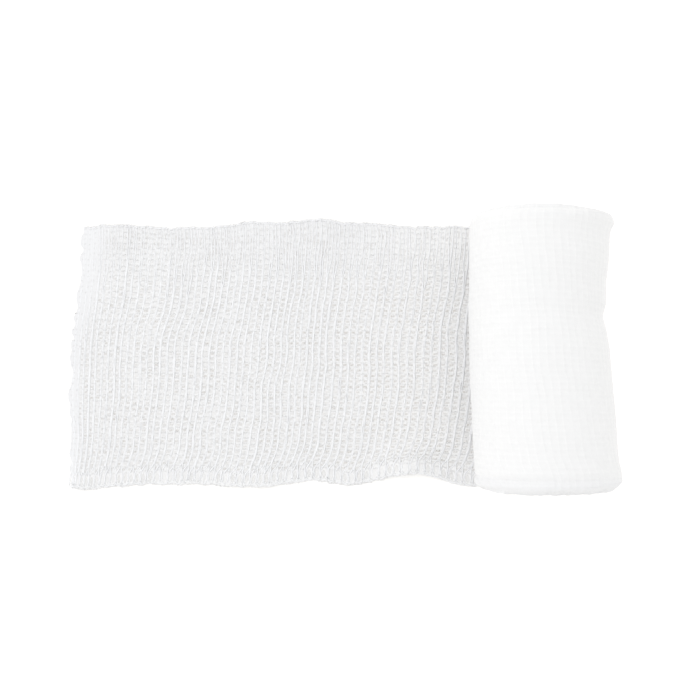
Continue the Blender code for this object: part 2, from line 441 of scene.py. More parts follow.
def strip_point(along, across, lift):
    """A point on the strip and the direction away from it, on the sheet or round the roll.

    across is a share of the width, from 0 at the lower edge to 1 at the upper one.
    """
    along, across, lift = np.broadcast_arrays(along, across, lift)
    low, high = edges_at(along)
    y = low + across * (high - low)
    evenness = 1 - WOUND_EVENNESS * smoothstep(0, ROLL_EASE, along - SEAM)
    y = y + evenness * edge_lumps(along, 1) * smoothstep(1 - LUMP_REACH, 1, across)
    y = y - evenness * edge_lumps(along, -1) * smoothstep(LUMP_REACH, 0, across)
    sheet_share = (np.minimum(along, SEAM) - sheet_low.x) / (SEAM - sheet_low.x)
    sheet_z = table_value(UNDERSIDE, sheet_share, across) + CLOTH_MIDDLE + lift
    turned = np.maximum(along - SEAM, 0)
    angle = SEAM_ANGLE + turned / RADIUS
    inward = 1 - TURN_PITCH * (turned / (math.tau * RADIUS)) / RADIUS
    uneven = relief(along, y) * smoothstep(0, ROLL_EASE, turned)
    distance = roll_radius(angle, y) * inward + lift + uneven
    on_roll = turned > 0
    x = np.where(on_roll, AXIS_X + distance * np.cos(angle), along)
    z = np.where(on_roll, AXIS_Z + distance * np.sin(angle), sheet_z)
    away_x, away_z = np.where(on_roll, np.cos(angle), 0.0), np.where(on_roll, np.sin(angle), 1.0)
    return np.stack([x, y, z], axis=-1), np.stack([away_x, np.zeros_like(x), away_z], axis=-1)


def mean_place(share):
    """Place across of a share of the width, without the waves of the edges."""
    return sheet_low.y + share * (sheet_high.y - sheet_low.y)


# Cross yarns

LEAN_STEP = 0.25
LEAN_Y = np.arange(-45, 45 + LEAN_STEP, LEAN_STEP)
LEAN_SHIFT = np.concatenate([[0], np.cumsum(np.interp(LEAN_Y, LEAN_AT, LEAN)[1:]) * LEAN_STEP])
LEAN_SHIFT -= np.interp(0, LEAN_Y, LEAN_SHIFT)
KINK_ALONG, KINK_REACH, KINK_ACROSS, KINK_HEIGHT, KINK_SHIFT = -48.0, 20.0, 11.5, 4.0, 0.9
SWAY, FINE_SWAY, FREE_AFTER = 0.55, 0.22, 14.0
LOWER_TURN, UPPER_TURN = 0.0155, 0.990
SHEET_LENGTH = SEAM - sheet_low.x
TURN_LENGTH = math.tau * RADIUS
FIRST_YARN, PAIRING, PITCH_SPREAD = 0.9, 0.06, 0.07
CUT_YARNS, CUT_FAINTNESS = 3, 0.65


def row_of(share):
    """Count of lengthwise rows up to a share of the width."""
    return (share * STRIP_WIDTH - FIRST_ROW) / ROW_PITCH


def yarn_starts():
    """Distance of each cross yarn from the cut end, over the sheet and once round the roll."""
    starts = [FIRST_YARN]
    while starts[-1] < SHEET_LENGTH + 1.1 * TURN_LENGTH:
        step = float(np.interp(starts[-1], PITCH_AT, PITCH))
        paired = PAIRING if len(starts) % 2 else -PAIRING
        starts.append(starts[-1] + step * (1 + paired + PITCH_SPREAD * RNG.uniform(-1, 1)))
    return np.array(starts)


def yarn_along(start, across):
    """Place along the strip of a cross yarn, which leans and sways as its neighbours do."""
    mean_y = mean_place(across)
    cut = np.interp(mean_y, CUT_AT, SOFT_CUT)
    middle_cut = float(np.interp(0, CUT_AT, SOFT_CUT))
    leaning = middle_cut + np.interp(mean_y, LEAN_Y, LEAN_SHIFT)
    free = 1 - np.exp(-start / FREE_AFTER)
    base = cut + free * (leaning - cut) + start
    kink = KINK_SHIFT * np.exp(-(((base - KINK_ALONG) / KINK_REACH) ** 2))
    kink = kink * np.tanh((mean_y - KINK_ACROSS) / KINK_HEIGHT)
    sway = SWAY * noise(SHARED, base / 17, mean_y / 11)
    sway = sway + FINE_SWAY * noise(SHARED, base / 6 + 90, mean_y / 4.5)
    return base + free * (kink + sway)


STARTS = yarn_starts()
FAINTNESS = RNG.uniform(0, 1, len(STARTS)) ** 1.5
FAINTNESS[:CUT_YARNS] = CUT_FAINTNESS
NUMBERS = np.arange(-1, len(STARTS))
START_TABLE = np.concatenate([[0.0], STARTS])


def start_of(number):
    """Distance from the cut end of a place counted in cross yarns, -1 at the cut end itself."""
    return np.interp(number, NUMBERS, START_TABLE)


def number_of(start):
    """Count of cross yarns up to a distance from the cut end."""
    return np.interp(start, START_TABLE, NUMBERS)


# How the two threads of a cross yarn run: half the space between them, where they part, and
# their height with its waves over and under the lengthwise strands

HALF_SPACE, SPLIT_WIDTH = 0.11, 0.25
UPPER_PARTING, LOWER_PARTING = 0.25, 0.39
UPPER_PART, LOWER_PART = (20.0, 32.0), (-32.4, -34.9)
THREAD_HEIGHT, WAVE_HEIGHT, FINE_WAVE_HEIGHT, FAINT_SINK = 0.105, 0.10, 0.06, 0.07
CALM_START, CALM_SHARE = (4, 11), 0.2
YARN_FLATNESS, YARN_STEPS, YARN_SIDES = 0.7, 92, 5
TURN_THICKNESS, TURN_FLATNESS = 0.9, 0.85


def cross_yarns(starts, steps):
    """Places of the two threads of each cross yarn, which part in the woven edges."""
    across = np.linspace(LOWER_TURN, UPPER_TURN, steps)[None, :]
    start = starts[:, None]
    y = mean_place(across)
    number = np.arange(len(starts))[:, None]
    pitch = np.gradient(starts)[:, None]
    upper_part = smoothstep(*UPPER_PART, y + 6.0 * noise(FINE, number * 1.7, 3.3))
    lower_part = smoothstep(*LOWER_PART, y + 0.9 * noise(FINE, number * 1.3, 8.1))
    split = np.maximum(noise(FINE, number * 5.3, y / 9) - 0.55, 0)
    uneven = 1 + 0.45 * noise(FINE, number * 2.3, y / 7 + 70)
    parting = (UPPER_PARTING * pitch - HALF_SPACE) * uneven * upper_part
    parting = parting + (LOWER_PARTING * pitch - HALF_SPACE) * lower_part
    calm = CALM_SHARE + (1 - CALM_SHARE) * smoothstep(*CALM_START, start)
    calm = calm * (1 - 0.5 * smoothstep(0.72, 0.86, across))
    threads = []
    for side in (-1, 1):
        key = number * 3.7 + side * 0.5 + 40
        offset = side * (HALF_SPACE + SPLIT_WIDTH * split + parting)
        wander = 0.10 * noise(FINE, key, y / 3.1) + 0.05 * noise(FINE, key + 60, y / 0.9)
        wander = wander + 0.22 * upper_part * noise(FINE, key + 30, y / 4.3)
        along = yarn_along(start, across) + offset + wander
        over_under = WAVE_HEIGHT * np.sin(math.pi * (y / ROW_PITCH + number))
        over_under = over_under + FINE_WAVE_HEIGHT * noise(FINE, key + 20, y / 1.3)
        height = THREAD_HEIGHT + calm * over_under - FAINT_SINK * FAINTNESS[number.ravel()][:, None]
        threads.append((along, height))
    return across, threads


def yarn_batches(starts):
    """Tubes for the two threads of each cross yarn, and the threads' places."""
    across, threads = cross_yarns(starts, YARN_STEPS)
    key = np.arange(len(starts))[:, None] * 2.9
    thick = WEFT_RADIUS * (1 + 0.18 * noise(FINE, key, np.linspace(0, 40, YARN_STEPS)[None, :]))
    thick = thick * (1.08 - 0.30 * FAINTNESS[: len(starts)][:, None])
    thick = thick * (1 + 0.15 * smoothstep(0.08, 0.04, across))
    thick = thick * (1 - 0.15 * smoothstep(0.78, 0.9, across))
    batches = []
    for along, height in threads:
        paths, ups = strip_point(along, across, height)
        batches.append((paths, ups, thick, YARN_SIDES, YARN_FLATNESS))
    return batches, threads


def edge_turns(threads, end, height_above=0.2, steps=9):
    """The turns that join the two threads of each cross yarn at a woven edge."""
    lower = end == "lower"
    column, outward, place = (0, -1, LOWER_TURN) if lower else (-1, 1, UPPER_TURN)
    begin, finish = threads[0][0][:, column], threads[1][0][:, column]
    half = (finish - begin)[:, None] / 2
    turn = np.linspace(0, math.pi, steps)[None, :]
    along = (begin + finish)[:, None] / 2 - half * np.cos(turn)
    shape = RNG.uniform(0.7, 1.1, (len(begin), 1))
    depth = np.abs(half) * shape if lower else 0.35 * shape
    height = height_above + 0.08 * RNG.uniform(-1, 1, (len(begin), 1))
    paths, ups = strip_point(along, place, height)
    paths[:, :, 1] += outward * depth * np.sin(turn)
    return paths, ups


# Lengthwise yarns

ROW_SHIFT, ROW_START = 0.03, 0.3
BODY_ROWS = FIRST_ROW + ROW_PITCH * np.arange(ROW_COUNT)
ROW_PLACES = np.concatenate([LOWER_BAND_ROWS, BODY_ROWS, UPPER_BAND_ROWS]) / STRIP_WIDTH
IN_BAND = np.repeat([True, False, True], [len(LOWER_BAND_ROWS), ROW_COUNT, len(UPPER_BAND_ROWS)])
OPENING, OPENING_SPREAD, OPENING_WAVE, BAND_OPENING = 0.20, 0.07, 0.06, 0.4
CRIMP, CRIMP_SPREAD, CRIMP_LENGTH = 0.13, 0.06, 0.86
STRAND_HEIGHT, STRAND_WAVE, CRIMP_HEIGHT = -0.07, 0.15, 0.11
BAND_THICKNESS, ROW_STEPS, ROW_SIDES = 1.4, 620, 3


def raggedness(y):
    """How far the cut end's fibres reach past its mean line, in steps of a few yarns."""
    return 0.5 * np.tanh(2.5 * noise(FINE, y / 2.0 + 11, 4.7)) + 0.16 * noise(SHARED, y / 0.8, 5.0)


def crimped_rows(rows):
    """Paths of crimped lengthwise strands, in pairs that open and close between the cross yarns."""
    run = np.linspace(0, 1, ROW_STEPS)[None, :]
    row = rows[:, None]
    place = ROW_PLACES[rows][:, None]
    banded = IN_BAND[rows][:, None]
    mean_y = mean_place(place)
    cut = np.interp(mean_y, CUT_AT, CUT_END)
    begin = cut + ROW_START - raggedness(mean_y)
    along = begin + run * (SEAM - begin)
    number = np.interp(along - cut, STARTS, np.arange(len(STARTS)))
    shift = np.where(banded, 0.0, np.where(row % 2 == 0, ROW_SHIFT, -ROW_SHIFT))
    low, high = edges_at(along)
    batches = []
    for strand, side in enumerate((-1, 1)):
        key = row * 2 + strand
        opening = OPENING + OPENING_SPREAD * noise(FINE, key * 1.9, number * 0.8)
        opening = opening - OPENING_WAVE * np.cos(math.tau * number)
        opening = opening * np.where(banded, BAND_OPENING, 1.0)
        phase = math.tau * (along / CRIMP_LENGTH + 1.4 * noise(FINE, key + 0.5, along / 5))
        crimp = (CRIMP + CRIMP_SPREAD * noise(FINE, key + 70.5, along / 2.5)) * np.sin(phase)
        drift = 0.12 * noise(SHARED, along / 7, row * 0.9)
        drift = drift + 0.09 * noise(FINE, along / 2.0, key * 1.1 + 130)
        sideways = side * opening + crimp + drift + shift
        across = straight_share(along, place) + sideways / (high - low)
        height = STRAND_HEIGHT + STRAND_WAVE * side * np.cos(math.pi * number)
        height = height + CRIMP_HEIGHT * np.cos(phase + strand)
        paths, ups = strip_point(along, across, height)
        thick = WARP_RADIUS * np.where(banded, BAND_THICKNESS, 1.0)
        thick = thick * (1 + 0.25 * noise(FINE, key * 1.3, along / 1.7))
        batches.append((paths, ups, thick, ROW_SIDES, 1.0))
    return batches


# Materials


def node_material(name):
    """A new material, its node tree, and its Principled shader."""
    material = bpy.data.materials.new(name)
    material.use_nodes = True
    return material, material.node_tree, material.node_tree.nodes["Principled BSDF"]


def set_inputs(node, **values):
    """Sets a node's inputs by their names, with an underscore for each space."""
    for name, value in values.items():
        node.inputs[name.replace("_", " ")].default_value = value


def math_node(tree, operation, first, second=None):
    """A calculation on one or two sockets or numbers."""
    node = tree.nodes.new("ShaderNodeMath")
    node.operation = operation
    for socket, value in zip(node.inputs, (first, second)):
        if isinstance(value, (int, float)):
            socket.default_value = value
        elif value is not None:
            tree.links.new(value, socket)
    return node.outputs["Value"]


def product(tree, *values):
    """The product of several sockets or numbers."""
    result = values[0]
    for value in values[1:]:
        result = math_node(tree, "MULTIPLY", result, value)
    return result


def fade(tree, value, start, finish, low, high):
    """A smooth change from one number to another as a value goes from start to finish."""
    node = tree.nodes.new("ShaderNodeMapRange")
    node.interpolation_type = "SMOOTHSTEP"
    for name, number in zip(("From Min", "From Max", "To Min", "To Max"), (start, finish, low, high)):
        node.inputs[name].default_value = number
    tree.links.new(value, node.inputs["Value"])
    return node.outputs["Result"]


def random_node(tree, first, second):
    """A random number for each whole place of a pattern."""
    joined = tree.nodes.new("ShaderNodeCombineXYZ")
    for socket, value in zip(joined.inputs, (first, second)):
        tree.links.new(math_node(tree, "FLOOR", value), socket)
    node = tree.nodes.new("ShaderNodeTexWhiteNoise")
    node.noise_dimensions = "2D"
    tree.links.new(joined.outputs["Vector"], node.inputs["Vector"])
    return node.outputs["Value"]


def noise_node(tree, place, scale, detail=2.0):
    """Smooth noise about 0.5 at a scale in cells for each metre."""
    node = tree.nodes.new("ShaderNodeTexNoise")
    set_inputs(node, Scale=scale, Detail=detail)
    tree.links.new(place.outputs["Object"], node.inputs["Vector"])
    return node.outputs["Fac"]


def wave_node(tree, value, turns=1.0):
    """A cosine that is 1 at each whole number."""
    return math_node(tree, "COSINE", math_node(tree, "MULTIPLY", value, math.tau * turns))


def uv_node(tree, name):
    """The two numbers of a UV map."""
    layout = tree.nodes.new("ShaderNodeUVMap")
    layout.uv_map = name
    parts = tree.nodes.new("ShaderNodeSeparateXYZ")
    tree.links.new(layout.outputs["UV"], parts.inputs["Vector"])
    return parts.outputs["X"], parts.outputs["Y"]


def ramp_node(tree, value, stops, colours):
    """A colour between two, by a value between two stops."""
    node = tree.nodes.new("ShaderNodeValToRGB")
    for element, stop, colour in zip(node.color_ramp.elements, stops, colours):
        element.position = stop
        element.color = (*colour, 1)
    tree.links.new(value, node.inputs["Fac"])
    return node.outputs["Color"]


def mix_node(tree, first, second, share):
    """A socket's colour that gives way to a fixed one as a share rises."""
    node = tree.nodes.new("ShaderNodeMix")
    node.data_type = "RGBA"
    node.inputs["B"].default_value = (*second, 1)
    tree.links.new(first, node.inputs["A"])
    tree.links.new(share, node.inputs["Factor"])
    return node.outputs["Result"]


def add_bump(tree, shader, height, strength, depth):
    """Bump on a shader, its depth in millimetres."""
    bump = tree.nodes.new("ShaderNodeBump")
    set_inputs(bump, Strength=strength, Distance=depth * MM)
    tree.links.new(height, bump.inputs["Height"])
    tree.links.new(bump.outputs["Normal"], shader.inputs["Normal"])


PATCH_STOPS, FIBRE_SCALE, FIBRE_BUMP, FIBRE_DEPTH = (0.35, 0.65), 9000.0, 0.35, 0.05
COTTON_ROUGHNESS, COTTON_SHEEN, SHEEN_ROUGHNESS, COTTON_SHINE = 0.85, 0.25, 0.6, 0.2


def yarn_material(name, dark, light, scale):
    """Fluffy spun cotton: uneven white, with fine fibres in the bump."""
    material, tree, shader = node_material(name)
    place = tree.nodes.new("ShaderNodeTexCoord")
    patches = noise_node(tree, place, scale, 4.0)
    colour = ramp_node(tree, patches, PATCH_STOPS, (dark, light))
    tree.links.new(colour, shader.inputs["Base Color"])
    add_bump(tree, shader, noise_node(tree, place, FIBRE_SCALE), FIBRE_BUMP, FIBRE_DEPTH)
    set_inputs(shader, Roughness=COTTON_ROUGHNESS, Specular_IOR_Level=COTTON_SHINE)
    set_inputs(shader, Sheen_Weight=COTTON_SHEEN, Sheen_Roughness=SHEEN_ROUGHNESS)
    return material


weft_material = yarn_material("cross_yarn", (0.822, 0.828, 0.841), (0.856, 0.862, 0.876), 900.0)
warp_material = yarn_material("crimped_yarn", (0.755, 0.754, 0.752), (0.805, 0.806, 0.808), 1500.0)

# The loose end

SHEET_STARTS = STARTS[STARTS < SHEET_LENGTH + 6]

batches, threads = yarn_batches(SHEET_STARTS)
cross_piece = add_tubes("loose_cross_yarns", batches, weft_material)

turn_batches = []
for end in ("lower", "upper"):
    paths, ups = edge_turns(threads, end)
    turn_batches.append((paths, ups, WEFT_RADIUS * TURN_THICKNESS, YARN_SIDES, TURN_FLATNESS))
turn_piece = add_tubes("loose_edge_turns", turn_batches, weft_material)

lower_rows, upper_rows = (
    add_tubes("loose_lengthwise_" + name, crimped_rows(rows), warp_material)
    for name, rows in zip(("lower", "upper"), np.split(np.arange(len(ROW_PLACES)), 2))
)

# The haze: how far it stands up where it is dense, and where along and across it is so

DENSE_LIFT, PACKED_RISE, BAND_RISE, LOOSE_RISE = 0.32, 0.42, 0.5, 0.25
HAZE_COLUMNS, HAZE_ROWS = 300, 84
LOWER_EDGE_ROWS = np.arange(0, 4.6, 0.3)
UPPER_EDGE_ROWS = (73.9, 74.3, 74.7, 75.0, 75.2)
PACKED_REACH, PACKED_REACH_GAIN = 2.0, 3.0
UPPER_DENSITY, LOWER_DENSITY = 0.26, 0.28


def haze_sheet():
    """The thin haze of the loose end. Its columns follow the cross yarns, on its solid's swells."""
    numbers = np.linspace(-1, float(number_of(SHEET_LENGTH)), HAZE_COLUMNS)[None, :]
    middle_rows = np.linspace(5.1, 73.4, HAZE_ROWS)
    from_edge = np.concatenate([LOWER_EDGE_ROWS, middle_rows, UPPER_EDGE_ROWS])[:, None]
    row_share = from_edge / STRIP_WIDTH
    start = start_of(numbers)
    straight = sheet_low.x + start
    share = straight_share(yarn_along(start, row_share), row_share)
    mean_y = mean_place(share)
    cut = np.interp(mean_y, CUT_AT, CUT_END) - raggedness(mean_y)
    soft_cut = np.interp(mean_y, CUT_AT, SOFT_CUT)
    along = yarn_along(start, share) + smoothstep(3, 0, start) * (cut - soft_cut)
    along = along + smoothstep(SHEET_LENGTH - 8, SHEET_LENGTH, start) * (straight - along)
    reach = PACKED_REACH + PACKED_REACH_GAIN * smoothstep(0, 26, mean_y)
    uneven_start = start + 0.8 * noise(FINE, numbers * 0.6, mean_y / 4)
    packed = 1 - smoothstep(0.2 * reach, 2.3 * reach, uneven_start)
    band = smoothstep(0, 0.4, from_edge) * smoothstep(2.1, 0.8, from_edge)
    band = band + 0.9 * smoothstep(73.9, 74.5, from_edge) * smoothstep(75.3, 74.9, from_edge)
    drawn_up = from_edge + 6.0 * noise(FINE, numbers / 3, 50.5)
    upper_band = UPPER_DENSITY * smoothstep(55, 70, drawn_up)
    lower_band = LOWER_DENSITY * smoothstep(5.5, 3.5, from_edge)
    loose = np.maximum(upper_band, lower_band)
    closeness = np.maximum(np.maximum(packed, band), loose)
    rise = np.maximum(np.maximum(PACKED_RISE * packed, BAND_RISE * band), LOOSE_RISE * loose)
    points, _ = strip_point(along, share, DENSE_LIFT * rise)
    rows, columns = closeness.shape
    quads = grid_faces(rows, columns)
    uv = corner_places(quads, np.linspace(0, 1, columns)[None, :], row_share)
    weave = corner_places(quads, numbers, row_of(row_share))
    return points.reshape(-1, 3), quads, uv, weave, closeness


# The haze's pattern. A fade is the value where it starts, the one where it finishes, and its
# result at each. Values count rows or cross yarns, or are millimetres from the lower edge.

TUFT_SCALE, TUFT_DETAIL, DRIFT_SCALE, WANDER_SCALE, WANDER = 2200.0, 3.0, 130.0, 600.0, 0.16
ROW_GAP, YARN_GAP = (0.1, -0.8, 0.0, 1.0), (0.35, -0.35, 0.0, 1.0)
GAP_PARITY, EVERY_OTHER = 0.5, (-0.3, 0.3, 0.9, 1.0)
GAP_CHANCE, SURER_NEAR_ROLL = (0.25, 0.95, 0.28, 1.0), (20.0, 50.0, 0.0, 0.5)
BROKEN, PATCHY = (0.42, 0.58, 0.35, 1.0), (0.35, 0.65, 0.5, 1.0)
PAST_LOWER_BAND, LESS_AT_UPPER_EDGE = (3.1, 3.9, 0.0, 1.0), (52.0, 70.0, 1.0, 0.2)
DEEPER_NEAR_ROLL = (30.0, 48.0, 1.2, 1.25)
OVAL_CENTRE, OVAL_REACH, OVAL_SLIMNESS, OVAL_DEPTH = 2.2, 1.2, 0.85, 1.1
OVAL_EDGE, OVAL_CHANCE = (0.5, 1.4, OVAL_DEPTH, 0.0), (0.0, 1.0, 0.2, 1.0)
BESIDE_THREADS, SLIT_PATCHES = (0.1, 0.9, 0.0, 0.5), (0.48, 0.62, 0.0, 1.0)
SLITS_FROM, SLITS_TO = (58.0, 68.0, 0.0, 1.0), (72.5, 74.0, 1.0, 0.0)
FILLED_WHERE_DENSE = (0.0, 0.9, 1.0, 0.0)
# How far the gaps thin the haze, the share of painted shade put into them, and how much of the dense
# colour the close haze takes.
GAP_DEPTH, GAP_SHADE_SHARE, DENSE_SHARE = 0.39, 0.5, 0.95
# Painted light: the haze is lightened near the roll to offset the roll's shade, and near the lower
# edge both for its denser cloth and to offset the yarns' shadows.
PAINTED_LIGHT_NEAR_ROLL, DENSE_AND_PAINTED_LIGHT_NEAR_EDGE = (36.0, 54.0, 0.0, 0.75), (4.5, 2.5, 0.0, 0.6)
HAZE_STOPS, HAZE_DARK, HAZE_LIGHT = (0.40, 0.60), (0.755, 0.753, 0.750), (0.826, 0.829, 0.838)
DENSE_COLOUR = (0.778, 0.781, 0.792)
# The lighter haze colour of that painted light.
LIGHTENED_HAZE_COLOUR = (0.845, 0.843, 0.84)
# Painted shade: the dim, brownish floor seen through the gaps, painted into the haze there.
GAP_SHADE_COLOUR = (0.62, 0.575, 0.52)
HAZE_BUMP, HAZE_DEPTH, HAZE_ROUGHNESS = 0.5, 0.08, 0.9


def body_gaps(tree, number, row, from_edge, tufts, drift, wander):
    """The small gaps in rows between the yarns."""
    shifted = math_node(tree, "ADD", row, product(tree, wander, WANDER))
    shifted = math_node(tree, "SUBTRACT", shifted, WANDER / 2)
    parity = wave_node(tree, math_node(tree, "ADD", shifted, GAP_PARITY), 0.5)
    chance = fade(tree, random_node(tree, number, row), *GAP_CHANCE)
    chance = math_node(tree, "ADD", chance, fade(tree, number, *SURER_NEAR_ROLL))
    return product(
        tree,
        fade(tree, wave_node(tree, shifted), *ROW_GAP),
        fade(tree, parity, *EVERY_OTHER),
        fade(tree, wave_node(tree, number), *YARN_GAP),
        math_node(tree, "MINIMUM", chance, 1.0),
        fade(tree, tufts, *BROKEN),
        fade(tree, from_edge, *PAST_LOWER_BAND),
        fade(tree, from_edge, *LESS_AT_UPPER_EDGE),
        fade(tree, drift, *PATCHY),
        fade(tree, number, *DEEPER_NEAR_ROLL),
    )


def oval_gaps(tree, number, from_edge):
    """The small oval holes along the lower edge, one between each two yarns."""
    height = math_node(tree, "SUBTRACT", from_edge, OVAL_CENTRE)
    height = math_node(tree, "DIVIDE", height, OVAL_REACH)
    aside = math_node(tree, "SUBTRACT", 1.0, wave_node(tree, number))
    aside = product(tree, aside, OVAL_SLIMNESS)
    outward = math_node(tree, "ADD", product(tree, height, height), aside)
    centred = math_node(tree, "ADD", number, 0.5)
    chance = random_node(tree, centred, product(tree, from_edge, 0.0))
    return product(tree, fade(tree, outward, *OVAL_EDGE), fade(tree, chance, *OVAL_CHANCE))


def slit_gaps(tree, number, from_edge, wander):
    """The narrow slits beside the parted threads near the upper edge."""
    return product(
        tree,
        fade(tree, wave_node(tree, number, 2.0), *BESIDE_THREADS),
        fade(tree, wander, *SLIT_PATCHES),
        fade(tree, from_edge, *SLITS_FROM),
        fade(tree, from_edge, *SLITS_TO),
    )


def haze_material():
    """The haze of fine fibres. It thins to gaps between the yarns, which the weave map places. Its
    colour holds painted shade in the gaps, and painted light near the roll and the lower edge.
    """
    material, tree, shader = node_material("fibre_haze")
    number, row = uv_node(tree, "Weave")
    _, share = uv_node(tree, "OFBake")
    place = tree.nodes.new("ShaderNodeTexCoord")
    tufts = noise_node(tree, place, TUFT_SCALE, TUFT_DETAIL)
    drift = noise_node(tree, place, DRIFT_SCALE)
    wander = noise_node(tree, place, WANDER_SCALE)
    from_edge = product(tree, share, STRIP_WIDTH)
    nearness = tree.nodes.new("ShaderNodeAttribute")
    nearness.attribute_name = "closeness"
    close = nearness.outputs["Fac"]

    body = body_gaps(tree, number, row, from_edge, tufts, drift, wander)
    gaps = math_node(tree, "MAXIMUM", body, slit_gaps(tree, number, from_edge, wander))
    gaps = product(tree, gaps, fade(tree, close, *FILLED_WHERE_DENSE))
    # Painted shade for the gaps, where the shaded floor shows through.
    painted_gap_shade = product(tree, gaps, GAP_SHADE_SHARE)
    gaps = math_node(tree, "MAXIMUM", gaps, oval_gaps(tree, number, from_edge))
    cover = math_node(tree, "SUBTRACT", 1.0, product(tree, gaps, GAP_DEPTH))
    tree.links.new(cover, shader.inputs["Alpha"])

    # Painted light: lighter haze near the roll, against its shade, and near the lower edge, for its
    # denser cloth and against the yarns' shadows.
    painted_light_near_roll = fade(tree, number, *PAINTED_LIGHT_NEAR_ROLL)
    lighter_near_edge = fade(tree, from_edge, *DENSE_AND_PAINTED_LIGHT_NEAR_EDGE)
    colour = ramp_node(tree, tufts, HAZE_STOPS, (HAZE_DARK, HAZE_LIGHT))
    colour = mix_node(tree, colour, DENSE_COLOUR, product(tree, close, DENSE_SHARE))
    colour = mix_node(tree, colour, LIGHTENED_HAZE_COLOUR, math_node(tree, "MAXIMUM", painted_light_near_roll, lighter_near_edge))
    # Painted shade in the gaps.
    colour = mix_node(tree, colour, GAP_SHADE_COLOUR, painted_gap_shade)
    tree.links.new(colour, shader.inputs["Base Color"])
    add_bump(tree, shader, tufts, HAZE_BUMP, HAZE_DEPTH)
    set_inputs(shader, Roughness=HAZE_ROUGHNESS, Specular_IOR_Level=COTTON_SHINE)
    return material


points, quads, uv, weave, closeness = haze_sheet()
haze = haze_material()
sheet_piece = add_mesh("loose_cloth", points, quads, haze, uv=uv, weave=weave, closeness=closeness)

# The roll's outer turn

YARN_RIDGE = ((-0.15, 0.0), (-0.06, 1.0), (0.06, 1.0), (0.15, 0.0), (0.5, 0.0))
RIDGE_HEIGHT, RIB_HEIGHT = 0.055, 0.035
WRAP_TURNS, WRAP_EASE, CURL_STEP = 1.02, 8, 0.25
LIP_CURL = ((1.3, -1.6), (1.1, -0.8), (0.75, 0.0), (0.45, 0.28), (0.12, 0.22))


def wrap_mesh(rows=235):
    """The outermost turn, with low ridges for its yarns and a lip that curls into each end."""
    length = WRAP_TURNS * TURN_LENGTH
    first, last = math.ceil(number_of(SHEET_LENGTH)), math.floor(number_of(SHEET_LENGTH + length))
    numbers = [float(number_of(SHEET_LENGTH))]
    ridge = [0.0]
    for whole in range(first, last):
        for offset, height in YARN_RIDGE:
            if whole + offset > numbers[0] + 0.02:
                numbers.append(whole + offset)
                ridge.append(height)
    numbers, ridge = np.array(numbers)[None, :], np.array(ridge)[None, :]
    share = np.linspace(0, 1, rows)[:, None]
    row = row_of(share)
    start = start_of(numbers)
    straight = sheet_low.x + start
    turned = start - SHEET_LENGTH
    free = smoothstep(0, WRAP_EASE, turned)
    free = free * smoothstep(turned.max(), turned.max() - WRAP_EASE, turned)
    along = straight + free * (yarn_along(start, share) - straight)
    strength = 1 + 0.6 * noise(SHARED, along / 3, share * 30)
    low_lift = strength * (RIB_HEIGHT * np.cos(math.tau * row) + RIDGE_HEIGHT * ridge)
    body, _ = strip_point(along, share, low_lift)
    rims = {}
    for side, line in ((-1, 0), (1, -1)):
        curl = []
        for inset, out in LIP_CURL:
            ring, _ = strip_point(np.maximum(along[line], SEAM + 0.001), share[line], -inset)
            ring[:, 1] += side * out
            curl.append(ring)
        rims[side] = np.stack(curl if side < 0 else curl[::-1])
    points = np.concatenate([rims[-1], body, rims[1]])
    extra = len(LIP_CURL)
    edge = CURL_STEP / STRIP_WIDTH * np.arange(extra, 0, -1)
    share = np.concatenate([-edge, share[:, 0], 1 + edge[::-1]])[:, None]
    quads = grid_faces(*points.shape[:2])
    spread = (share - share.min()) / (share.max() - share.min())
    uv = corner_places(quads, turned / turned.max(), spread)
    return points.reshape(-1, 3), quads, uv, corner_places(quads, numbers, row_of(share))


# Painted shade: the greyer colour of the lower rim stands in for the shade of its lip, which turns
# away from the light.
RIM_SHADE_COLOUR = (0.775, 0.777, 0.79)
WOUND_DARK, WOUND_LIGHT, WOUND_LINE = (0.805, 0.806, 0.807), (0.82, 0.821, 0.822), (0.85, 0.85, 0.85)
PATCHY_LINES, PATCHY_SCALE = (0.35, 0.65, 0.3, 1.0), 260.0
# The last of these fades brings the painted rim shade in towards the lower edge.
CROSSING, LENGTHWISE, LOWER_RIM_SHADE = (0.7, 1.0, 0.0, 1.0), (0.1, 1.0, 0.0, 1.0), (0.4, -1.2, 0.0, 0.55)
CROSSING_SHARE, LENGTHWISE_SHARE = 0.45, 0.3


def wound_material():
    """The white wound cloth, with its yarns as faint lighter lines and painted shade on its lower rim.
    """
    material = yarn_material("wound_cloth", WOUND_DARK, WOUND_LIGHT, 500.0)
    tree = material.node_tree
    shader = tree.nodes["Principled BSDF"]
    number, row = uv_node(tree, "Weave")
    place = tree.nodes.new("ShaderNodeTexCoord")
    patchy = fade(tree, noise_node(tree, place, PATCHY_SCALE), *PATCHY_LINES)
    crossing = fade(tree, wave_node(tree, number), *CROSSING)
    lengthwise = fade(tree, wave_node(tree, row), *LENGTHWISE)
    cross_lines = product(tree, crossing, CROSSING_SHARE)
    lines = math_node(tree, "MAXIMUM", cross_lines, product(tree, lengthwise, LENGTHWISE_SHARE))
    lines = math_node(tree, "MAXIMUM", product(tree, crossing, lengthwise), lines)
    colour = shader.inputs["Base Color"].links[0].from_socket
    colour = mix_node(tree, colour, WOUND_LINE, product(tree, lines, patchy))
    # Painted shade on the lower rim.
    colour = mix_node(tree, colour, RIM_SHADE_COLOUR, fade(tree, row, *LOWER_RIM_SHADE))
    tree.links.new(colour, shader.inputs["Base Color"])
    return material


points, quads, uv, weave = wrap_mesh()
wrap_piece = add_mesh("outer_turn", points, quads, wound_material(), uv=uv, weave=weave)

RIM_THREAD_START, RIM_THREAD_RADIUS, RIM_THREAD_DEPTH = 1.0, 0.17, 0.13


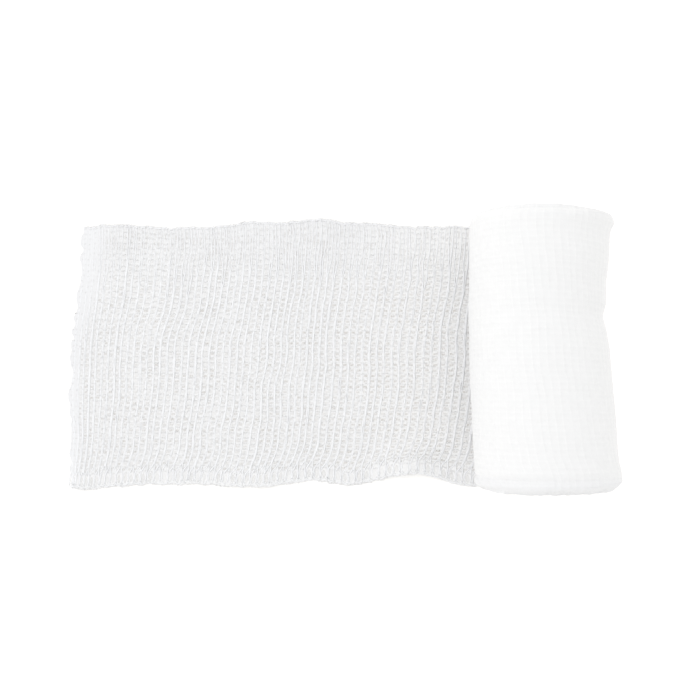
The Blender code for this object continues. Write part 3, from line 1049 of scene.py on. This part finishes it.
def rim_strands(steps=520):
    """The thick strands that run along both woven edges of the outer turn."""
    run = np.linspace(0, 1, steps)[None, :]
    along = SEAM + RIM_THREAD_START + run * (TURN_LENGTH - RIM_THREAD_START)
    batches = []
    for places in (LOWER_BAND_ROWS, UPPER_BAND_ROWS):
        place = np.array(places)[:, None] / STRIP_WIDTH
        key = place * 37
        phase = math.tau * (along / 1.3 + 1.2 * noise(FINE, key, along / 4))
        sideways = 0.07 * np.sin(phase) + 0.10 * noise(SHARED, along / 2.3, key)
        height = -RIM_THREAD_DEPTH + 0.03 * np.cos(phase)
        paths, ups = strip_point(along, place + sideways / STRIP_WIDTH, height)
        thick = RIM_THREAD_RADIUS * (1 + 0.2 * noise(FINE, key, along / 1.2))
        batches.append((paths, ups, thick, 4, 0.8))
    return batches


wound_end_material = yarn_material("wound_edges", WOUND_DARK, WOUND_LIGHT, 700.0)
rim_piece = add_tubes("outer_turn_edge_strands", rim_strands(), wound_end_material)

# The single thread that has come away from the cut end

STRAY_THREAD = (
    (-75.6, -2.9, 0.9),
    (-75.9, -3.9, 0.7),
    (-76.4, -5.6, 0.5),
    (-76.8, -7.0, 0.35),
    (-77.0, -7.9, 0.3),
)
STRAY_RADIUS = 0.07
stray_path = np.array(STRAY_THREAD)[None]
stray_up = np.tile([0.0, 0.0, 1.0], (1, len(STRAY_THREAD), 1))
stray_piece = add_tubes("stray_thread", [(stray_path, stray_up, STRAY_RADIUS, 5, 1.0)], weft_material)

# The roll's wound ends: each turn's ridge by depth and height, and how far the rim sinks in

TURN_DEPTHS = np.array([0.0, 0.22, 0.5, 0.78])
TURN_HEIGHTS = np.array([-0.55, 0.05, 0.3, 0.05])
RIM_SINK, RIM_SINK_TURNS, SPIRAL_INSET = 0.95, 4.0, 0.15
TURN_WANDER, RAGGED_HEIGHT, FINE_RAGGED_HEIGHT = 0.10, 0.30, 0.22
CORE_DEPTH = 0.5
SPIRAL_STEPS = 150


def end_spiral(side):
    """A strip of fine turns that winds from the rim to the middle, each turn a soft ridge."""
    total = SPIRAL_STEPS * TURN_COUNT
    position = np.arange(total + SPIRAL_STEPS + 1)
    turned = position / SPIRAL_STEPS
    angle = SEAM_ANGLE + math.tau * turned
    rim = np.clip(end_place(side, angle, RIM_DISTANCE), -ROLL_REACH, ROLL_REACH)
    rim_relief = relief(SEAM + TURN_LENGTH * np.mod(turned, 1), rim) * smoothstep(0, 0.15, turned)
    outline = roll_radius(angle, rim) + rim_relief - SPIRAL_INSET
    points = []
    for depth, height in zip(TURN_DEPTHS, TURN_HEIGHTS):
        wound_in = TURN_PITCH * (turned + depth)
        wander = TURN_WANDER * noise(FINE, position / 9 + side * 40, turned)
        distance = outline * (1 - wound_in / RADIUS) + wander
        y = end_place(side, angle, np.minimum(distance, RIM_DISTANCE))
        ragged = RAGGED_HEIGHT * noise(SHARED, position / 5 * 0.9 + side * 17, turned * 1.3)
        ragged = ragged + FINE_RAGGED_HEIGHT * noise(FINE, position / 2.1, turned * 2.2 + 9 * side)
        protrude = height * (1 + 0.5 * noise(SHARED, position / 14, turned + 77))
        protrude = protrude + ragged * (height > 0) - RIM_SINK * np.exp(-turned / RIM_SINK_TURNS)
        x = AXIS_X + distance * np.cos(angle)
        z = AXIS_Z + distance * np.sin(angle)
        points.append(np.stack([x, y + side * protrude, z], axis=-1))
    width = len(TURN_DEPTHS)
    points = np.stack(points, axis=1).reshape(-1, 3)
    quads, uv = spiral_faces(total, width)
    if side > 0:
        quads, uv = quads[:, ::-1], uv[:, ::-1]
    hole = np.arange(total, total + SPIRAL_STEPS + 1) * width
    centre = points[hole].mean(axis=0) - np.array([0, side * CORE_DEPTH, 0])
    return np.concatenate([points, centre[None]]), quads, hole, uv.reshape(-1, 2)


def spiral_faces(total, width):
    """The faces of a spiral strip, each turn joined to the next one in, and their UV map."""
    step = np.arange(total)[:, None]
    level = np.arange(width)[None, :]
    here = step * width + level
    there = here + width
    inner = np.where(level + 1 < width, here + 1, (step + SPIRAL_STEPS) * width)
    inner_there = np.where(level + 1 < width, there + 1, (step + SPIRAL_STEPS + 1) * width)
    quads = np.stack(np.broadcast_arrays(here, inner, inner_there, there), axis=-1).reshape(-1, 4)
    begin = (step % SPIRAL_STEPS) / SPIRAL_STEPS
    end = begin + 1 / SPIRAL_STEPS
    u = np.broadcast_to(np.stack([begin, begin, end, end], axis=-1), (total, width, 4))
    depths = np.append(TURN_DEPTHS, 1.0)
    near, far = depths[:-1][None, :], depths[1:][None, :]
    whole_turns = (step // SPIRAL_STEPS)[:, :, None]
    v = (whole_turns + np.stack([near, far, far, near], axis=-1)) / (TURN_COUNT + 1)
    return quads, np.stack([u, v], axis=-1).reshape(-1, 4, 2)


def add_end(name, side):
    """One wound end of the roll, closed at its middle."""
    points, quads, hole, uv = end_spiral(side)
    middle = len(points) - 1
    caps = [(a, b, middle) if side < 0 else (b, a, middle) for a, b in zip(hole, hole[1:])]
    low, high = TURN_COUNT / (TURN_COUNT + 1), 1.0
    cap_uv = []
    for number in range(len(caps)):
        begin, end = number / SPIRAL_STEPS, (number + 1) / SPIRAL_STEPS
        outer = [(begin, low), (end, low)] if side < 0 else [(end, low), (begin, low)]
        cap_uv.extend([*outer, ((begin + end) / 2, high)])
    uv = np.concatenate([uv, np.array(cap_uv)])
    return add_mesh(name, points, quads, wound_end_material, np.array(caps), uv=uv)


lower_end = add_end("lower_wound_end", -1)
upper_end = add_end("upper_wound_end", 1)

# The floor, the light and the camera, in metres

FLOOR_REACH, FLOOR_DROP, FLOOR_GLOW, FLOOR_COLOUR = 3.0, 0.0001, 0.2, (0.93, 0.92, 0.90, 1)
WHITE = (1, 1, 1, 1)
WORLD_STRENGTH = 1.01
KEY_PLACE, KEY_SIZE, KEY_POWER = (-0.50, 0.28, 0.87), 0.8, 2.35


def add_floor():
    """A wide pale floor."""
    mesh = bpy.data.meshes.new("floor")
    corners = [(x * FLOOR_REACH, y * FLOOR_REACH, 0) for x, y in ((-1, -1), (1, -1), (1, 1), (-1, 1))]
    mesh.from_pydata(corners, [], [(0, 1, 2, 3)])
    floor = add_object("floor", mesh)
    floor.location.z = -FLOOR_DROP
    material, _, shader = node_material("pale_floor")
    set_inputs(shader, Base_Color=FLOOR_COLOUR, Roughness=1.0, Specular_IOR_Level=0.0)
    set_inputs(shader, Emission_Color=WHITE, Emission_Strength=FLOOR_GLOW)
    mesh.materials.append(material)


def add_aimed(name, data, place, aim):
    """A lamp or a camera that looks from one place at another."""
    holder = add_object(name, data)
    holder.location = place
    holder.rotation_euler = (Vector(aim) - Vector(place)).to_track_quat("-Z", "Y").to_euler()
    return holder


def add_light():
    """A large soft lamp."""
    lamp = bpy.data.lights.new("key", "AREA")
    lamp.size, lamp.energy = KEY_SIZE, KEY_POWER
    add_aimed("key", lamp, KEY_PLACE, (0, 0, 0))


def add_world():
    """Even white light from all round."""
    world = bpy.data.worlds.new("studio")
    world.use_nodes = True
    set_inputs(world.node_tree.nodes["Background"], Color=WHITE, Strength=WORLD_STRENGTH)
    bpy.context.scene.world = world


PICTURE_CENTRE = Vector((sheet_low.x + 80.5, sheet_low.y + 39.85, 0)) * MM
CAMERA_HEIGHT = 0.450
CAMERA_SETBACK = 0.020
PICTURE_WIDTH = 0.2006
SENSOR = 36.0


def add_camera():
    """Looks down at the part, from nearly straight above the middle of the picture."""
    camera = bpy.data.cameras.new("camera")
    camera.sensor_width = SENSOR
    place = PICTURE_CENTRE + Vector((0, -CAMERA_SETBACK, CAMERA_HEIGHT))
    camera.lens = SENSOR * (place - PICTURE_CENTRE).length / PICTURE_WIDTH
    camera.clip_start, camera.clip_end = 0.01, 20
    bpy.context.scene.camera = add_aimed("camera", camera, place, PICTURE_CENTRE)


add_floor()
add_world()
add_light()
add_camera()
bpy.context.scene.view_settings.view_transform = "Standard"
bpy.context.scene.view_settings.look = "None"

# What each piece stands for

loose_pieces = [cross_piece, turn_piece, lower_rows, upper_rows, stray_piece]
roll_pieces = [wrap_piece, rim_piece, lower_end, upper_end]
for piece in [sheet_piece, *loose_pieces]:
    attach(piece, "root")
for piece in roll_pieces:
    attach(piece, "root")
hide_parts("loose_end")
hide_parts("roll")
